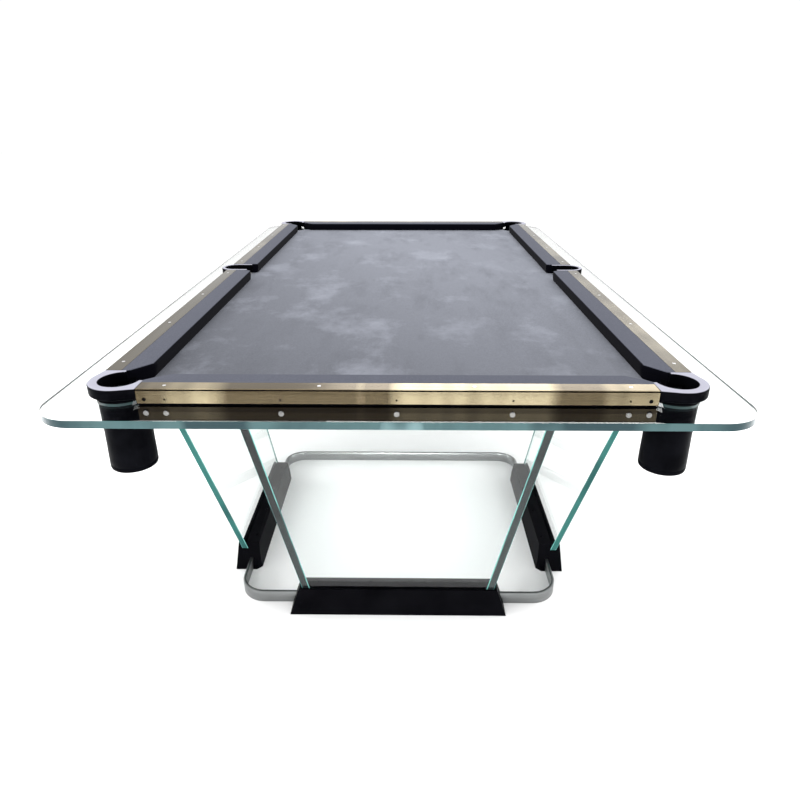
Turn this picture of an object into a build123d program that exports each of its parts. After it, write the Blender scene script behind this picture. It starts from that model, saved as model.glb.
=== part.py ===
from build123d import *
import math
import os

os.makedirs("parts", exist_ok=True)

# A nine-foot glass pool table. X runs across the table, Y along it, Z up.
# The origin is on the floor, under the middle of the table.
# The head end is at -Y and the foot end at +Y; left is -X and right is +X.

# ---- playing field ----
PLAY_LENGTH = 2540.0        # cushion nose to cushion nose, along Y
PLAY_WIDTH = 1270.0         # cushion nose to cushion nose, along X
BED_HEIGHT = 770.0          # floor to the upper face of the glass top
CLOTH_THICKNESS = 1.0
CLOTH_TUCK = 30.0           # how far the bed cloth runs under the cushions

# ---- glass top ----
GLASS_THICKNESS = 19.0
GLASS_SIDE_OVERHANG = 105.0  # glass beyond the outer face of the rails
GLASS_END_OVERHANG = 89.0
GLASS_CORNER_RADIUS = 105.0
GLASS_ARRIS = 1.5

# ---- rails: u runs outwards from the cushion nose, v up from the glass ----
RAIL_WIDTH = 106.0
RAIL_HEIGHT = 41.0
NOSE_LOW = 26.0
NOSE_HIGH = 31.0
NOSE_SHOULDER = 6.0         # top edge of the cushion back from its nose
SHOULDER_DROP = 0.6
CUSHION_UNDERCUT = 4.0      # foot of the cushion back from its nose
CUSHION_WIDTH = 62.0
SUBRAIL_HEIGHT = 18.0
SUBRAIL_START = 35.0
CUSHION_LIFT = 1.2          # underside of the cushion above the glass
CAP_THICKNESS = 2.0
CAP_GAP = 0.4               # joint between the cushion cloth and the cap
FASCIA_THICKNESS = 3.0
FASCIA_LOW = 4.5
FASCIA_HIGH = 36.5
TRIM_END_INSET = 2.0        # black rail end seen past the metal trim

# ---- pockets ----
CORNER_NOSE_SETBACK = 78.0  # corner of the field to the end of each nose
CORNER_RAIL_SETBACK = 17.0  # corner of the field to the end of each rail
CORNER_JAW_ANGLE = 38.0
SIDE_NOSE_SETBACK = 72.0    # middle of the side pocket to the end of each nose
SIDE_RAIL_SETBACK = 58.0
SIDE_JAW_ANGLE = 14.0
CORNER_POCKET_OFFSET = 42.0  # pocket centre beyond the corner, along X and Y
SIDE_POCKET_OFFSET = 79.0    # pocket centre beyond the nose line
CORNER_LOOP_INNER = 51.0
CORNER_LOOP_OUTER = 75.0
SIDE_LOOP_INNER = 44.0
LOOP_HEIGHT = 28.0
CORNER_CUP_RADIUS = 58.0
SIDE_CUP_RADIUS = 50.0
CUP_WALL = 4.0
CUP_BOTTOM = 580.0
CUP_CLEARANCE = 2.0         # cup to the polished hole in the glass
CUP_RIM_DROP = 1.0          # top of the tube below the face of the glass
COLLAR_CLEARANCE = 1.5      # half collar to the ends of the rails
CLOTH_HEM = 2.0             # cloth edge back from the hole

# ---- bars under the glass ----
FRAME_SETBACK = 2.0         # bar face behind the rail face
FRAME_THICKNESS = 20.0
FRAME_HEIGHT = 36.0
FRAME_CUP_CLEARANCE = 1.0
FRAME_BOLT_DROP = 14.0

# ---- base units ----
RING_LENGTH = 940.0
RING_CORNER_RADIUS = 80.0
RING_BAR_THICKNESS = 9.0
RING_BAR_HEIGHT = 40.0
FLOOR_GAP = 0.5             # rings and shoes clear the floor, the feet carry

SHOE_WIDTH = 86.0
SHOE_TOP_Z = 88.0
SHOE_OUTER_LEAN = 9.0
SHOE_INNER_LEAN = 8.0
SHOE_END_LEAN = 30.0
SHOE_CHAMFER = 16.0
END_SHOE_LENGTH = 660.0
SIDE_SHOE_LENGTH = 624.0
END_RING_IN_SHOE = 57.0     # shoe outer edge to the ring's outer face
SIDE_RING_IN_SHOE = 48.0
SHOE_SLOT_CLEARANCE = 0.3

PANEL_THICKNESS = 19.0
PANEL_BOTTOM_Z = 50.0
PANEL_SIGHT_Z = 80.0        # height at which the lower width and place are set
PANEL_INSET = 18.0          # panel outer face in from the shoe's outer edge
PANEL_LOW_WIDTH = 580.0
PANEL_HIGH_WIDTH = 800.0
END_PANEL_GAP = 2.0         # top of the panel to the bar under the glass
SIDE_PANEL_GAP = 19.0
END_PANEL_RUN = 148.0       # outward lean between the sight height and the top
SIDE_PANEL_RUN = 170.0
PAD_THICKNESS = 1.5

# ---- levelling feet ----
FOOT_INSET = 24.0
FOOT_RADIUS = 20.0
FOOT_THICKNESS = 6.0
FOOT_STEM_RADIUS = 6.0
FOOT_STEM_TOP = 44.0
FOOT_CLEARANCE = 0.3
FOOT_BORE_SPARE = 3.0

# ---- fasteners ----
SCREW_CLEARANCE = 0.15
TRIM_SCREW_RADIUS = 2.0
CAP_SCREW_HEAD = 4.4
CAP_SCREW_PROUD = 0.6
CAP_SCREW_LENGTH = 14.0
CAP_SCREW_MARGIN = 64.0
CAP_SCREWS = 4
FASCIA_END_HEAD = 4.8
FASCIA_END_MARGIN = 20.0
FASCIA_MARGIN = 68.0
FASCIA_HEAD = 2.6
FASCIA_SCREWS = 5
FASCIA_SCREW_HEIGHT = 14.5
FASCIA_SCREW_LENGTH = 14.0
FASCIA_END_SINK = 1.6
FASCIA_SINK = 0.5
RAIL_BOLT_RADIUS = 5.0
RAIL_BOLT_U = 45.0
RAIL_BOLT_DEPTH = 14.0
RAIL_BOLT_CLEARANCE = 2.0
RAIL_BOLT_MARGIN = 100.0
END_RAIL_BOLTS = (-470.0, -187.0, 187.0, 470.0)
WASHER_RADIUS = 11.0
WASHER_THICKNESS = 2.0
NUT_RADIUS = 8.5
NUT_HEIGHT = 8.0
BUTTON_RADIUS = 6.5
BUTTON_HEIGHT = 3.5
BUTTON_SHANK = 4.0
BUTTON_SHANK_LENGTH = 9.0
SHOE_SCREW_RADIUS = 4.5
SHOE_SCREW_DEPTH = 14.0
SHOE_SCREW_PROUD = 2.0
SHOE_SCREW_U = 24.0
SHOE_SCREW_SPOTS = (-0.42, -0.14, 0.14, 0.42)   # shares of the shoe's top length

# ---- worked out from the values above ----
HALF_LENGTH = PLAY_LENGTH / 2
HALF_WIDTH = PLAY_WIDTH / 2
GLASS_UNDER = BED_HEIGHT - GLASS_THICKNESS
LOOP_LOW = RAIL_HEIGHT - LOOP_HEIGHT
CORE_WIDTH = RAIL_WIDTH - FASCIA_THICKNESS
CORE_HEIGHT = RAIL_HEIGHT - CAP_THICKNESS
PANEL_TOP_Z = GLASS_UNDER - PAD_THICKNESS
BAR_OUTER = RAIL_WIDTH - FRAME_SETBACK
BAR_INNER = BAR_OUTER - FRAME_THICKNESS
PANEL_FOOT = SHOE_WIDTH - PANEL_INSET
END_SHOE_INNER = HALF_LENGTH + BAR_INNER - END_PANEL_GAP - END_PANEL_RUN - PANEL_FOOT
SIDE_SHOE_INNER = HALF_WIDTH + BAR_INNER - SIDE_PANEL_GAP - SIDE_PANEL_RUN - PANEL_FOOT
RING_WIDTH = 2 * (SIDE_SHOE_INNER + SHOE_WIDTH - SIDE_RING_IN_SHOE)
RING_MIDDLE = END_SHOE_INNER + SHOE_WIDTH - END_RING_IN_SHOE - RING_LENGTH / 2
CAP_INNER = CUSHION_WIDTH + CAP_GAP
CAP_MIDDLE = (CAP_INNER + CORE_WIDTH) / 2
CORNER_X = HALF_WIDTH + CORNER_POCKET_OFFSET
CORNER_Y = HALF_LENGTH + CORNER_POCKET_OFFSET
SIDE_X = HALF_WIDTH + SIDE_POCKET_OFFSET
STANDING = (Align.CENTER, Align.CENTER, Align.MIN)
CORNER_JAW_RUN = CORNER_NOSE_SETBACK - CORNER_RAIL_SETBACK
SIDE_JAW_RUN = SIDE_NOSE_SETBACK - SIDE_RAIL_SETBACK
CORNER_JAW_DEPTH = CORNER_JAW_RUN * math.tan(math.radians(CORNER_JAW_ANGLE))
SIDE_JAW_DEPTH = SIDE_JAW_RUN / math.tan(math.radians(SIDE_JAW_ANGLE))


def save(name, shape):
    export_step(shape, f"parts/{name}.step")


def prism(points, depth, plane=Plane.XY):
    """A closed outline drawn on a plane and pushed along the plane's normal."""
    face = make_face(Polyline(*points, close=True))
    return extrude(plane * face, amount=depth)


def along_x(points, start, end):
    """An outline of (y, z) points carried along X from start to end."""
    return prism(points, end - start, Plane(origin=(start, 0, 0), x_dir=(0, 1, 0), z_dir=(1, 0, 0)))


def along_y(points, start, end):
    """An outline of (x, z) points carried along Y from start to end."""
    return prism(points, end - start, Plane(origin=(0, end, 0), x_dir=(1, 0, 0), z_dir=(0, -1, 0)))


def group(solids):
    return Compound(children=list(solids))


# ---- rail layout: t runs along the rail, u outwards, v up ----
SIDES = {
    "head": (Pos(0, -HALF_LENGTH, BED_HEIGHT), 180),
    "foot": (Pos(0, HALF_LENGTH, BED_HEIGHT), 0),
    "left": (Pos(-HALF_WIDTH, 0, BED_HEIGHT), 90),
    "right": (Pos(HALF_WIDTH, 0, BED_HEIGHT), -90),
}


def rail_end(kind, half):
    """Ends of nose and rail, and how deep the jaw face runs, for one end of a rail."""
    if kind == "corner":
        return half - CORNER_NOSE_SETBACK, half - CORNER_RAIL_SETBACK, CORNER_JAW_DEPTH
    return SIDE_NOSE_SETBACK, SIDE_RAIL_SETBACK, SIDE_JAW_DEPTH


class Rail:
    """One length of rail: its side of the table and its two ends along t."""

    def __init__(self, name, side, low_kind, high_kind, flip):
        self.name = name
        self.place, self.turn = SIDES[side]
        self.flip = flip
        half = HALF_WIDTH if side in ("head", "foot") else HALF_LENGTH
        nose_high, end_high, jaw_high = rail_end(high_kind, half)
        if low_kind == "corner":
            nose_low, end_low, jaw_low = -nose_high, -end_high, jaw_high
        else:
            nose_low, end_low, jaw_low = rail_end("side", half)
        self.nose = (nose_low, nose_high)
        self.ends = (end_low, end_high)
        self.jaws = (jaw_low, jaw_high)
        self.is_end_rail = low_kind == "corner"

    def put(self, shape):
        """Move a solid made in t, u and v to its place on the table."""
        if self.flip:
            shape = mirror(shape, about=Plane.YZ)
        return self.place * Rot(0, 0, self.turn) * shape

    def plan(self, outer):
        """Outline in t and u with the slanted jaw faces, pushed up past the rail."""
        points = [
            (self.nose[0], 0),
            (self.nose[1], 0),
            (self.ends[1], self.jaws[1]),
            (self.ends[1], outer),
            (self.ends[0], outer),
            (self.ends[0], self.jaws[0]),
        ]
        return prism(points, RAIL_HEIGHT)

    def carry(self, section):
        """A (u, v) section carried along the whole rail."""
        return along_x(section, self.ends[0], self.ends[1])

    def trim_span(self):
        return self.ends[0] + TRIM_END_INSET, self.ends[1] - TRIM_END_INSET

    def cap_screws(self):
        low = self.ends[0] + CAP_SCREW_MARGIN
        step = (self.ends[1] - self.ends[0] - 2 * CAP_SCREW_MARGIN) / (CAP_SCREWS - 1)
        return [low + step * i for i in range(CAP_SCREWS)]

    def fascia_end_screws(self):
        return [self.ends[0] + FASCIA_END_MARGIN, self.ends[1] - FASCIA_END_MARGIN]

    def fascia_screws(self):
        low = self.ends[0] + FASCIA_MARGIN
        step = (self.ends[1] - self.ends[0] - 2 * FASCIA_MARGIN) / (FASCIA_SCREWS - 1)
        return [low + step * i for i in range(FASCIA_SCREWS)]

    def bolts(self):
        if self.is_end_rail:
            return list(END_RAIL_BOLTS)
        return [self.ends[0] + RAIL_BOLT_MARGIN, self.ends[1] - RAIL_BOLT_MARGIN]


# a side rail runs from the side pocket (low t) to the corner pocket (high t)
RAILS = [
    Rail("head", "head", "corner", "corner", False),
    Rail("foot", "foot", "corner", "corner", False),
    Rail("left_head", "left", "side", "corner", True),
    Rail("left_foot", "left", "side", "corner", False),
    Rail("right_head", "right", "side", "corner", False),
    Rail("right_foot", "right", "side", "corner", True),
]


def cushion(rail):
    """Cloth-covered rubber: a nearly flat top, a steep front and a slight undercut down to the cloth."""
    section = [
        (0, NOSE_LOW),
        (0, NOSE_HIGH),
        (NOSE_SHOULDER, RAIL_HEIGHT - SHOULDER_DROP),
        (CUSHION_WIDTH, RAIL_HEIGHT),
        (CUSHION_WIDTH, SUBRAIL_HEIGHT),
        (SUBRAIL_START, SUBRAIL_HEIGHT),
        (SUBRAIL_START, CUSHION_LIFT),
        (CUSHION_UNDERCUT, CUSHION_LIFT),
    ]
    return rail.carry(section) & rail.plan(CUSHION_WIDTH)


def bar_up(t, u, radius, low, high):
    """A round bar along v, from low to high."""
    return Pos(t, u, low) * Cylinder(radius, high - low, align=STANDING)


def bar_out(t, height, radius, inner, outer):
    """A round bar along u, from inner to outer."""
    return Pos(t, inner, height) * Rot(-90, 0, 0) * Cylinder(radius, outer - inner, align=STANDING)


def rail_core(rail):
    """Black rail body: a foot under the cushion and a full-height outer wall."""
    section = [
        (SUBRAIL_START, 0),
        (CORE_WIDTH, 0),
        (CORE_WIDTH, CORE_HEIGHT),
        (CUSHION_WIDTH, CORE_HEIGHT),
        (CUSHION_WIDTH, SUBRAIL_HEIGHT),
        (SUBRAIL_START, SUBRAIL_HEIGHT),
    ]
    core = rail.carry(section) & rail.plan(CORE_WIDTH)
    hole = TRIM_SCREW_RADIUS + SCREW_CLEARANCE
    for t in rail.cap_screws():
        core -= bar_up(t, CAP_MIDDLE, hole, CORE_HEIGHT - CAP_SCREW_LENGTH, RAIL_HEIGHT)
    for t in rail.fascia_end_screws() + rail.fascia_screws():
        core -= bar_out(t, FASCIA_SCREW_HEIGHT, hole, CORE_WIDTH - FASCIA_SCREW_LENGTH, RAIL_WIDTH)
    for t in rail.bolts():
        core -= bar_up(t, RAIL_BOLT_U, RAIL_BOLT_RADIUS + SCREW_CLEARANCE, -1, RAIL_BOLT_DEPTH)
    return core


def rail_trim(rail):
    """Metal cap strip on top and fascia strip on the outer face."""
    start, end = rail.trim_span()
    cap = along_x([(CAP_INNER, CORE_HEIGHT), (CORE_WIDTH, CORE_HEIGHT),
                   (CORE_WIDTH, RAIL_HEIGHT), (CAP_INNER, RAIL_HEIGHT)], start, end)
    fascia = along_x([(CORE_WIDTH, FASCIA_LOW), (RAIL_WIDTH, FASCIA_LOW),
                      (RAIL_WIDTH, FASCIA_HIGH), (CORE_WIDTH, FASCIA_HIGH)], start, end)
    for t in rail.cap_screws():
        cap -= bar_up(t, CAP_MIDDLE, CAP_SCREW_HEAD + SCREW_CLEARANCE, 0, RAIL_HEIGHT + 1)
    for t in rail.fascia_end_screws():
        head = FASCIA_END_HEAD + SCREW_CLEARANCE
        fascia -= bar_out(t, FASCIA_SCREW_HEIGHT, head, CORE_WIDTH - 1, RAIL_WIDTH + 1)
    for t in rail.fascia_screws():
        head = FASCIA_HEAD + SCREW_CLEARANCE
        fascia -= bar_out(t, FASCIA_SCREW_HEIGHT, head, CORE_WIDTH - 1, RAIL_WIDTH + 1)
    return group([rail.put(cap), rail.put(fascia)])


def rail_screws(rail):
    solids = []
    for t in rail.cap_screws():
        head = bar_up(t, CAP_MIDDLE, CAP_SCREW_HEAD, CORE_HEIGHT, RAIL_HEIGHT + CAP_SCREW_PROUD)
        low = CORE_HEIGHT - CAP_SCREW_LENGTH + 1
        solids.append(head + bar_up(t, CAP_MIDDLE, TRIM_SCREW_RADIUS, low, CORE_HEIGHT))
    spots = [(t, FASCIA_END_HEAD, FASCIA_END_SINK) for t in rail.fascia_end_screws()]
    spots += [(t, FASCIA_HEAD, FASCIA_SINK) for t in rail.fascia_screws()]
    for t, radius, sink in spots:
        head = bar_out(t, FASCIA_SCREW_HEIGHT, radius, CORE_WIDTH, RAIL_WIDTH - sink)
        inner = CORE_WIDTH - FASCIA_SCREW_LENGTH + 1
        shank = bar_out(t, FASCIA_SCREW_HEIGHT, TRIM_SCREW_RADIUS, inner, CORE_WIDTH)
        solids.append(head + shank)
    return [rail.put(solid) for solid in solids]


def rail_bolts(rail):
    """Bolts from the rail down through the glass, each with a washer and a nut."""
    solids = []
    under = -GLASS_THICKNESS
    for t in rail.bolts():
        bolt = bar_up(t, RAIL_BOLT_U, RAIL_BOLT_RADIUS, under - WASHER_THICKNESS - NUT_HEIGHT,
                      RAIL_BOLT_DEPTH - 1)
        washer = bar_up(t, RAIL_BOLT_U, WASHER_RADIUS, under - WASHER_THICKNESS, under)
        nut_face = RegularPolygon(NUT_RADIUS, 6)
        nut_low = under - WASHER_THICKNESS - NUT_HEIGHT
        nut = Pos(t, RAIL_BOLT_U, nut_low) * extrude(nut_face, amount=NUT_HEIGHT)
        solids.append(bolt + washer + nut)
    return [rail.put(solid) for solid in solids]


def frame_bar(rail):
    """Flat bar on edge under the glass, just behind the face of the rail."""
    top = -GLASS_THICKNESS
    bar = rail.carry([(BAR_INNER, top - FRAME_HEIGHT), (BAR_OUTER, top - FRAME_HEIGHT),
                      (BAR_OUTER, top), (BAR_INNER, top)])
    for t in rail.fascia_end_screws() + rail.fascia_screws():
        bar -= bar_out(t, top - FRAME_BOLT_DROP, BUTTON_SHANK + SCREW_CLEARANCE,
                       BAR_OUTER - BUTTON_SHANK_LENGTH - 1, BAR_OUTER + 1)
    bar = rail.put(bar)
    for pocket in POCKETS:
        bar -= pocket.post(pocket.cup_radius + FRAME_CUP_CLEARANCE, 4 * (FRAME_HEIGHT + GLASS_THICKNESS))
    return bar


def frame_bolts(rail):
    height = -GLASS_THICKNESS - FRAME_BOLT_DROP
    solids = []
    for t in rail.fascia_end_screws() + rail.fascia_screws():
        head = bar_out(t, height, BUTTON_RADIUS, BAR_OUTER, BAR_OUTER + BUTTON_HEIGHT)
        shank = bar_out(t, height, BUTTON_SHANK, BAR_OUTER - BUTTON_SHANK_LENGTH, BAR_OUTER)
        solids.append(rail.put(head + shank))
    return solids


# ---- pockets: made for the foot-right or right side place, then mirrored ----
class Pocket:
    """One pocket: the signs of its place in X and Y, its middle and its cup's radius."""

    def __init__(self, name, x_sign, y_sign):
        self.name = name
        self.x_sign = x_sign
        self.y_sign = y_sign
        self.is_corner = y_sign != 0
        self.x = x_sign * (CORNER_X if self.is_corner else SIDE_X)
        self.y = y_sign * CORNER_Y
        self.cup_radius = CORNER_CUP_RADIUS if self.is_corner else SIDE_CUP_RADIUS

    def post(self, radius, height):
        """A round bar through the pocket, half above and half below the face of the glass."""
        return Pos(self.x, self.y, BED_HEIGHT) * Cylinder(radius, height)

    def settle(self, shape):
        if self.x_sign < 0:
            shape = mirror(shape, about=Plane.YZ)
        if self.y_sign < 0:
            shape = mirror(shape, about=Plane.XZ)
        return shape


POCKETS = [
    Pocket("head_left", -1, -1),
    Pocket("head_right", 1, -1),
    Pocket("foot_left", -1, 1),
    Pocket("foot_right", 1, 1),
    Pocket("side_left", -1, 0),
    Pocket("side_right", 1, 0),
]


def touching(point, turn):
    """Where a line from a point just touches the outside of the corner loop: turn is 1 or -1."""
    across = point[0] - CORNER_X
    along = point[1] - CORNER_Y
    swing = turn * math.acos(CORNER_LOOP_OUTER / math.hypot(across, along))
    angle = math.atan2(along, across) + swing
    return CORNER_X + CORNER_LOOP_OUTER * math.cos(angle), CORNER_Y + CORNER_LOOP_OUTER * math.sin(angle)


def corner_loop():
    """Leather loop: a round that swells past both rails, less a round throat, open towards the field."""
    low_x = HALF_WIDTH - CORNER_RAIL_SETBACK
    low_y = HALF_LENGTH - CORNER_RAIL_SETBACK
    on_end_rail = (low_x, HALF_LENGTH + RAIL_WIDTH)
    on_side_rail = (HALF_WIDTH + RAIL_WIDTH, low_y)
    outline = [(low_x, low_y), on_end_rail, touching(on_end_rail, -1),
               touching(on_side_rail, 1), on_side_rail]
    quarter = Pos(low_x, low_y, 0) * Box(RAIL_WIDTH * 2, RAIL_WIDTH * 2, LOOP_HEIGHT, align=Align.MIN)
    round_end = Pos(CORNER_X, CORNER_Y, 0) * Cylinder(CORNER_LOOP_OUTER, LOOP_HEIGHT, align=STANDING)
    block = prism(outline, LOOP_HEIGHT) + (round_end & quarter)
    block -= Pos(CORNER_X, CORNER_Y, 0) * Cylinder(CORNER_LOOP_INNER, 3 * LOOP_HEIGHT)
    jaw_x = HALF_WIDTH + CORNER_JAW_DEPTH
    jaw_y = HALF_LENGTH + CORNER_JAW_DEPTH
    mouth = [(low_x - 1, low_y - 1), (jaw_x, low_y - 1), (jaw_x, low_y), (CORNER_X, CORNER_Y),
             (low_x, jaw_y), (low_x - 1, jaw_y)]
    block -= Pos(0, 0, -1) * prism(mouth, LOOP_HEIGHT + 2)
    return Pos(0, 0, BED_HEIGHT + LOOP_LOW) * block


def side_loop():
    """Leather U between the two side rails, bulging past their outer face."""
    outer_radius = SIDE_RAIL_SETBACK
    inner_x = HALF_WIDTH + CUSHION_WIDTH
    block = bar_up(SIDE_X, 0, outer_radius, 0, LOOP_HEIGHT)
    arms = Box(SIDE_X - inner_x, 2 * outer_radius, LOOP_HEIGHT, align=(Align.MIN, Align.CENTER, Align.MIN))
    block += Pos(inner_x, 0, 0) * arms
    block -= Pos(SIDE_X, 0, 0) * Cylinder(SIDE_LOOP_INNER, 3 * LOOP_HEIGHT)
    throat = Box(SIDE_X - inner_x + 1, 2 * SIDE_LOOP_INNER, 3 * LOOP_HEIGHT, align=Align.CENTER)
    block -= Pos((SIDE_X + inner_x - 1) / 2, 0, 0) * throat
    return Pos(0, 0, BED_HEIGHT + LOOP_LOW) * block


def pocket_cup(pocket):
    """Leather tube through the glass; behind the pocket it runs on up to the loop."""
    radius = pocket.cup_radius
    rim = BED_HEIGHT - CUP_RIM_DROP - CUP_BOTTOM
    top = BED_HEIGHT + LOOP_LOW - CUP_BOTTOM
    tube = Cylinder(radius, top, align=STANDING) - Cylinder(radius - CUP_WALL, top, align=STANDING)
    front = Box(2 * radius, 3 * radius, radius, align=(Align.MAX, Align.CENTER, Align.MIN))
    beside = Box(6 * radius, 6 * radius, radius, align=(Align.CENTER, Align.MAX, Align.MIN))
    if pocket.is_corner:
        room = CORNER_POCKET_OFFSET + CORNER_RAIL_SETBACK - COLLAR_CLEARANCE
        front = Rot(0, 0, 45) * front
        cuts = [front, Pos(0, -room, 0) * beside, Pos(-room, 0, 0) * Rot(0, 0, -90) * beside]
    else:
        room = SIDE_RAIL_SETBACK - COLLAR_CLEARANCE
        cuts = [front, Pos(0, -room, 0) * beside, Pos(0, room, 0) * Rot(0, 0, 180) * beside]
    for cut in cuts:
        tube -= Pos(0, 0, rim) * cut
    return pocket.settle(Pos(abs(pocket.x), abs(pocket.y), CUP_BOTTOM) * tube)


def cup_base(pocket):
    disc = Cylinder(pocket.cup_radius - CUP_WALL, CUP_WALL, align=STANDING)
    return Pos(pocket.x, pocket.y, CUP_BOTTOM) * disc


# ---- glass top and bed cloth ----
def glass_top():
    width = PLAY_WIDTH + 2 * (RAIL_WIDTH + GLASS_SIDE_OVERHANG)
    length = PLAY_LENGTH + 2 * (RAIL_WIDTH + GLASS_END_OVERHANG)
    plate = extrude(RectangleRounded(width, length, GLASS_CORNER_RADIUS), amount=GLASS_THICKNESS)
    rims = plate.faces().filter_by(Axis.Z)
    plate = chamfer(rims.edges(), GLASS_ARRIS)
    plate = Pos(0, 0, GLASS_UNDER) * plate
    for pocket in POCKETS:
        plate -= pocket.post(pocket.cup_radius + CUP_CLEARANCE, 4 * GLASS_THICKNESS)
    for rail in RAILS:
        for t in rail.bolts():
            radius = RAIL_BOLT_RADIUS + RAIL_BOLT_CLEARANCE
            plate -= rail.put(bar_up(t, RAIL_BOLT_U, radius, -2 * GLASS_THICKNESS, GLASS_THICKNESS))
    return plate


def bed_cloth():
    width = PLAY_WIDTH + 2 * CLOTH_TUCK
    length = PLAY_LENGTH + 2 * CLOTH_TUCK
    sheet = Pos(0, 0, BED_HEIGHT) * Box(width, length, CLOTH_THICKNESS, align=STANDING)
    for pocket in POCKETS:
        sheet -= pocket.post(pocket.cup_radius + CUP_CLEARANCE + CLOTH_HEM, 4 * CLOTH_THICKNESS)
    return sheet


# ---- base units: made for the head end, mirrored for the foot end ----
def floor_ring(spare=0):
    """Flat bar on edge, bent to a rounded rectangle, grown by a clearance for its channel."""
    outer = RectangleRounded(RING_WIDTH + 2 * spare, RING_LENGTH + 2 * spare, RING_CORNER_RADIUS + spare)
    inset = RING_BAR_THICKNESS + spare
    inner = RectangleRounded(RING_WIDTH - 2 * inset, RING_LENGTH - 2 * inset, RING_CORNER_RADIUS - inset)
    ring = extrude(outer - inner, amount=RING_BAR_HEIGHT + spare)
    return Pos(0, -RING_MIDDLE, FLOOR_GAP) * ring


class Stand:
    """One shoe with its glass panel: t runs along the shoe, d outwards from its inner edge."""

    def __init__(self, name, place, turn, length, lean_run):
        self.name = name
        self.place = place
        self.turn = turn
        self.length = length
        self.slope = lean_run / (GLASS_UNDER - PANEL_SIGHT_Z)

    def put(self, shape):
        return self.place * Rot(0, 0, self.turn) * shape

    def panel_outer(self, z):
        return PANEL_FOOT + (z - PANEL_SIGHT_Z) * self.slope

    def panel_depth(self):
        """Thickness of the leaning glass measured level."""
        return PANEL_THICKNESS * math.sqrt(1 + self.slope**2)


STANDS = [
    Stand("end", Pos(0, -END_SHOE_INNER, 0), 180, END_SHOE_LENGTH, END_PANEL_RUN),
    Stand("left", Pos(-SIDE_SHOE_INNER, -RING_MIDDLE, 0), 90, SIDE_SHOE_LENGTH, SIDE_PANEL_RUN),
    Stand("right", Pos(SIDE_SHOE_INNER, -RING_MIDDLE, 0), -90, SIDE_SHOE_LENGTH, SIDE_PANEL_RUN),
]


def panel_half_width(z):
    spread = (PANEL_HIGH_WIDTH - PANEL_LOW_WIDTH) / 2
    return PANEL_LOW_WIDTH / 2 + (z - PANEL_SIGHT_Z) / (GLASS_UNDER - PANEL_SIGHT_Z) * spread


def panel_slab(stand, low, high, spare):
    """The leaning glass between two heights, grown by a clearance on every side."""
    section = []
    for z, edge in ((low, 0), (low, 1), (high, 1), (high, 0)):
        outer = stand.panel_outer(z) + spare
        inner = stand.panel_outer(z) - stand.panel_depth() - spare
        section.append((outer if edge else inner, z))
    slab = along_x(section, -PANEL_HIGH_WIDTH, PANEL_HIGH_WIDTH)
    half_low = panel_half_width(low) + spare
    half_high = panel_half_width(high) + spare
    face = [(-half_low, low), (half_low, low), (half_high, high), (-half_high, high)]
    return slab & along_y(face, -PANEL_HIGH_WIDTH, PANEL_HIGH_WIDTH)


def glass_panel(stand):
    return panel_slab(stand, PANEL_BOTTOM_Z, PANEL_TOP_Z, 0)


def panel_pad(stand):
    half = panel_half_width(PANEL_TOP_Z)
    outer = stand.panel_outer(PANEL_TOP_Z)
    return Pos(-half, outer, PANEL_TOP_Z) * Box(2 * half, stand.panel_depth(), PAD_THICKNESS,
                                                align=(Align.MIN, Align.MAX, Align.MIN))


def shoe_screw_spots(stand):
    top_length = stand.length - 2 * SHOE_END_LEAN
    return [share * top_length for share in SHOE_SCREW_SPOTS]


def shoe(stand):
    """Trapezoid block, in place, with a slot for the glass, a channel for the ring and a foot socket."""
    half = stand.length / 2
    top_half = half - SHOE_END_LEAN
    section = [(0, FLOOR_GAP), (SHOE_WIDTH, FLOOR_GAP), (SHOE_WIDTH - SHOE_OUTER_LEAN, SHOE_TOP_Z),
               (SHOE_INNER_LEAN, SHOE_TOP_Z)]
    body = along_x(section, -half, half)
    front = [(-half, FLOOR_GAP), (half, FLOOR_GAP), (top_half, SHOE_TOP_Z), (-top_half, SHOE_TOP_Z)]
    body &= along_y(front, 0, SHOE_WIDTH)
    plan = [(-half, SHOE_WIDTH), (half, SHOE_WIDTH), (half, SHOE_CHAMFER), (half - SHOE_CHAMFER, 0),
            (SHOE_CHAMFER - half, 0), (-half, SHOE_CHAMFER)]
    body &= prism(plan, SHOE_TOP_Z + 1)
    body -= panel_slab(stand, PANEL_BOTTOM_Z, SHOE_TOP_Z + 1, SHOE_SLOT_CLEARANCE)
    foot_d = SHOE_WIDTH - FOOT_INSET
    body -= bar_up(0, foot_d, FOOT_RADIUS + FOOT_CLEARANCE, 0, FOOT_THICKNESS + FOOT_CLEARANCE)
    body -= bar_up(0, foot_d, FOOT_STEM_RADIUS + FOOT_CLEARANCE, 0, FOOT_STEM_TOP + FOOT_BORE_SPARE)
    for t in shoe_screw_spots(stand):
        body -= bar_up(t, SHOE_SCREW_U, SHOE_SCREW_RADIUS + SCREW_CLEARANCE, SHOE_TOP_Z - SHOE_SCREW_DEPTH,
                       SHOE_TOP_Z + 1)
    return stand.put(body) - floor_ring(SHOE_SLOT_CLEARANCE)


def shoe_screws(stand):
    length = SHOE_SCREW_DEPTH + SHOE_SCREW_PROUD
    socket = extrude(RegularPolygon(SHOE_SCREW_RADIUS / 2, 6), amount=SHOE_SCREW_RADIUS)
    screw = Cylinder(SHOE_SCREW_RADIUS, length, align=STANDING)
    screw -= Pos(0, 0, length - SHOE_SCREW_RADIUS + 1) * socket
    low = SHOE_TOP_Z - SHOE_SCREW_DEPTH
    return [Pos(t, SHOE_SCREW_U, low) * screw for t in shoe_screw_spots(stand)]


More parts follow.
